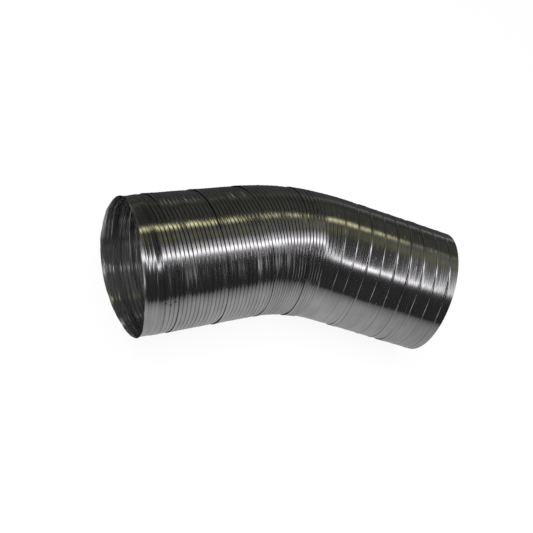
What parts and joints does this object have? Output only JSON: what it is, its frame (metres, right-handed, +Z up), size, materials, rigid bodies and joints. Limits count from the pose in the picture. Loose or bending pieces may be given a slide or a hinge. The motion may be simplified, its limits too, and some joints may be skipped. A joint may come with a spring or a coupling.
{
  "type": "flexible air duct",
  "caption": "Bare aluminium semi-rigid duct for ventilation air, ribbed where pushed together and smooth where drawn out, with a gentle bend and both ends open.",
  "frame": {"origin": "centre of the mouth's opening, on the rim plane of the plain cuff", "axes": "+X along the bore into the duct, +Z up with the duct lying on its side on a floor, +Y to the left; the bend turns to -Y"},
  "size_m": [0.3443, 0.2026, 0.1318],
  "materials": {
    "strip": "bright rolled aluminium strip with fine lines along the strip, a little wavy from handling"
  },
  "bodies": {
    "mouth_cuff": {"mouth_cuff": "strip"},
    "ribbed_turn_01": {"ribbed_turn_01": "strip"},
    "ribbed_turn_02": {"ribbed_turn_02": "strip"},
    "ribbed_turn_03": {"ribbed_turn_03": "strip"},
    "ribbed_turn_04": {"ribbed_turn_04": "strip"},
    "ribbed_turn_05": {"ribbed_turn_05": "strip"},
    "ribbed_turn_06": {"ribbed_turn_06": "strip"},
    "ribbed_turn_07": {"ribbed_turn_07": "strip"},
    "ribbed_turn_08": {"ribbed_turn_08": "strip"},
    "ribbed_turn_09": {"ribbed_turn_09": "strip"},
    "ribbed_turn_10": {"ribbed_turn_10": "strip"},
    "ribbed_turn_11": {"ribbed_turn_11": "strip"},
    "ribbed_turn_12": {"ribbed_turn_12": "strip"},
    "ribbed_turn_13": {"ribbed_turn_13": "strip"},
    "ribbed_turn_14": {"ribbed_turn_14": "strip"},
    "ribbed_turn_15": {"ribbed_turn_15": "strip"},
    "smooth_turn_01": {"smooth_turn_01": "strip"},
    "smooth_turn_02": {"smooth_turn_02": "strip"},
    "smooth_turn_03": {"smooth_turn_03": "strip"},
    "smooth_turn_04": {"smooth_turn_04": "strip"},
    "smooth_turn_05": {"smooth_turn_05": "strip"},
    "smooth_turn_06": {"smooth_turn_06": "strip"},
    "smooth_turn_07": {"smooth_turn_07": "strip"},
    "smooth_turn_08": {"smooth_turn_08": "strip"},
    "smooth_turn_09": {"smooth_turn_09": "strip"},
    "end_turn": {"end_turn": "strip"}
  },
  "joints": [
    {"name": "side_bend_mouth", "type": "hinge", "parent": "mouth_cuff", "child": "ribbed_turn_01", "pos_m": [0.01595, 0, 0], "axis": [0, 0, 1], "range_deg": [-2.4, 2.4]},
    {"name": "stretch", "type": "slide", "parent": "ribbed_turn_01", "child": "ribbed_turn_02", "axis": [1, 0, 0], "range_m": [-0.0024, 0.003]},
    {"name": "side_bend_mouth_seam_03", "type": "hinge", "parent": "ribbed_turn_02", "child": "ribbed_turn_03", "pos_m": [0.03915, 0, 0], "axis": [0, 0, 1], "range_deg": [-2.4, 2.4]},
    {"name": "lift", "type": "hinge", "parent": "ribbed_turn_03", "child": "ribbed_turn_04", "pos_m": [0.05075, 0, 0], "axis": [0, -1, 0], "range_deg": [-2.4, 2.4]},
    {"name": "side_bend_mouth_seam_05", "type": "hinge", "parent": "ribbed_turn_04", "child": "ribbed_turn_05", "pos_m": [0.06235, 0, 0], "axis": [0, 0, 1], "range_deg": [-2.4, 2.4]},
    {"name": "stretch_seam_06", "type": "slide", "parent": "ribbed_turn_05", "child": "ribbed_turn_06", "axis": [1, 0, 0], "range_m": [-0.0024, 0.003]},
    {"name": "side_bend_mouth_seam_07", "type": "hinge", "parent": "ribbed_turn_06", "child": "ribbed_turn_07", "pos_m": [0.08555, 0, 0], "axis": [0, 0, 1], "range_deg": [-2.4, 2.4]},
    {"name": "lift_seam_08", "type": "hinge", "parent": "ribbed_turn_07", "child": "ribbed_turn_08", "pos_m": [0.09715, 0, 0], "axis": [0, -1, 0], "range_deg": [-2.4, 2.4]},
    {"name": "side_bend_mouth_seam_09", "type": "hinge", "parent": "ribbed_turn_08", "child": "ribbed_turn_09", "pos_m": [0.10875, 0, 0], "axis": [0, 0, 1], "range_deg": [-2.4, 2.4]},
    {"name": "stretch_seam_10", "type": "slide", "parent": "ribbed_turn_09", "child": "ribbed_turn_10", "axis": [1, 0, 0], "range_m": [-0.00144, 0.0018]},
    {"name": "side_bend_mouth_seam_11", "type": "hinge", "parent": "ribbed_turn_10", "child": "ribbed_turn_11", "pos_m": [0.13195, -0.00027, 0], "axis": [0, 0, 1], "range_deg": [-1.2, 1.2]},
    {"name": "lift_seam_12", "type": "hinge", "parent": "ribbed_turn_11", "child": "ribbed_turn_12", "pos_m": [0.1435, -0.00126, 0], "axis": [-0.1159, -0.9933, 0], "range_deg": [-1.44, 1.44]},
    {"name": "side_bend_end_seam_13", "type": "hinge", "parent": "ribbed_turn_12", "child": "ribbed_turn_13", "pos_m": [0.15497, -0.00296, 0], "axis": [0, 0, 1], "range_deg": [-1.2, 1.2]},
    {"name": "stretch_seam_14", "type": "slide", "parent": "ribbed_turn_13", "child": "ribbed_turn_14", "axis": [0.9712, -0.2383, 0], "range_m": [-0.00144, 0.0018]},
    {"name": "side_bend_end_seam_15", "type": "hinge", "parent": "ribbed_turn_14", "child": "ribbed_turn_15", "pos_m": [0.17749, -0.00848, 0], "axis": [0, 0, 1], "range_deg": [-1.2, 1.2]},
    {"name": "lift_seam_16", "type": "hinge", "parent": "ribbed_turn_15", "child": "smooth_turn_01", "pos_m": [0.18845, -0.01228, 0], "axis": [-0.357, -0.9341, 0], "range_deg": [-1.44, 1.44]},
    {"name": "side_bend_end_seam_17", "type": "hinge", "parent": "smooth_turn_01", "child": "smooth_turn_02", "pos_m": [0.20133, -0.01777, 0], "axis": [0, 0, 1], "range_deg": [-1.2, 1.2]},
    {"name": "stretch_seam_18", "type": "slide", "parent": "smooth_turn_02", "child": "smooth_turn_03", "axis": [0.8702, -0.4928, 0], "range_m": [-0.00144, 0.0018]},
    {"name": "side_bend_end", "type": "hinge", "parent": "smooth_turn_03", "child": "smooth_turn_04", "pos_m": [0.22588, -0.0312, 0], "axis": [0, 0, 1], "range_deg": [-2.4, 2.4]},
    {"name": "lift_seam_20", "type": "hinge", "parent": "smooth_turn_04", "child": "smooth_turn_05", "pos_m": [0.23801, -0.0382, 0], "axis": [-0.5, -0.866, 0], "range_deg": [-2.4, 2.4]},
    {"name": "side_bend_end_seam_21", "type": "hinge", "parent": "smooth_turn_05", "child": "smooth_turn_06", "pos_m": [0.25013, -0.0452, 0], "axis": [0, 0, 1], "range_deg": [-2.4, 2.4]},
    {"name": "stretch_seam_22", "type": "slide", "parent": "smooth_turn_06", "child": "smooth_turn_07", "axis": [0.866, -0.5, 0], "range_m": [-0.0024, 0.003]},
    {"name": "side_bend_end_seam_23", "type": "hinge", "parent": "smooth_turn_07", "child": "smooth_turn_08", "pos_m": [0.27438, -0.0592, 0], "axis": [0, 0, 1], "range_deg": [-2.4, 2.4]},
    {"name": "lift_seam_24", "type": "hinge", "parent": "smooth_turn_08", "child": "smooth_turn_09", "pos_m": [0.28651, -0.0662, 0], "axis": [-0.5, -0.866, 0], "range_deg": [-2.4, 2.4]},
    {"name": "side_bend_end_seam_25", "type": "hinge", "parent": "smooth_turn_09", "child": "end_turn", "pos_m": [0.29863, -0.0732, 0], "axis": [0, 0, 1], "range_deg": [-2.4, 2.4]}
  ],
  "couplings": [
    {"joint": "side_bend_mouth_seam_03", "follows": "side_bend_mouth", "ratio": 1},
    {"joint": "side_bend_mouth_seam_05", "follows": "side_bend_mouth", "ratio": 1},
    {"joint": "side_bend_mouth_seam_07", "follows": "side_bend_mouth", "ratio": 1},
    {"joint": "side_bend_mouth_seam_09", "follows": "side_bend_mouth", "ratio": 1},
    {"joint": "side_bend_mouth_seam_11", "follows": "side_bend_mouth", "ratio": 0.5},
    {"joint": "stretch_seam_06", "follows": "stretch", "ratio": 1},
    {"joint": "stretch_seam_10", "follows": "stretch", "ratio": 0.6},
    {"joint": "stretch_seam_14", "follows": "stretch", "ratio": 0.6},
    {"joint": "stretch_seam_18", "follows": "stretch", "ratio": 0.6},
    {"joint": "stretch_seam_22", "follows": "stretch", "ratio": 1},
    {"joint": "lift_seam_08", "follows": "lift", "ratio": 1},
    {"joint": "lift_seam_12", "follows": "lift", "ratio": 0.6},
    {"joint": "lift_seam_16", "follows": "lift", "ratio": 0.6},
    {"joint": "lift_seam_20", "follows": "lift", "ratio": 1},
    {"joint": "lift_seam_24", "follows": "lift", "ratio": 1},
    {"joint": "side_bend_end_seam_13", "follows": "side_bend_end", "ratio": 0.5},
    {"joint": "side_bend_end_seam_15", "follows": "side_bend_end", "ratio": 0.5},
    {"joint": "side_bend_end_seam_17", "follows": "side_bend_end", "ratio": 0.5},
    {"joint": "side_bend_end_seam_21", "follows": "side_bend_end", "ratio": 1},
    {"joint": "side_bend_end_seam_23", "follows": "side_bend_end", "ratio": 1},
    {"joint": "side_bend_end_seam_25", "follows": "side_bend_end", "ratio": 1}
  ]
}
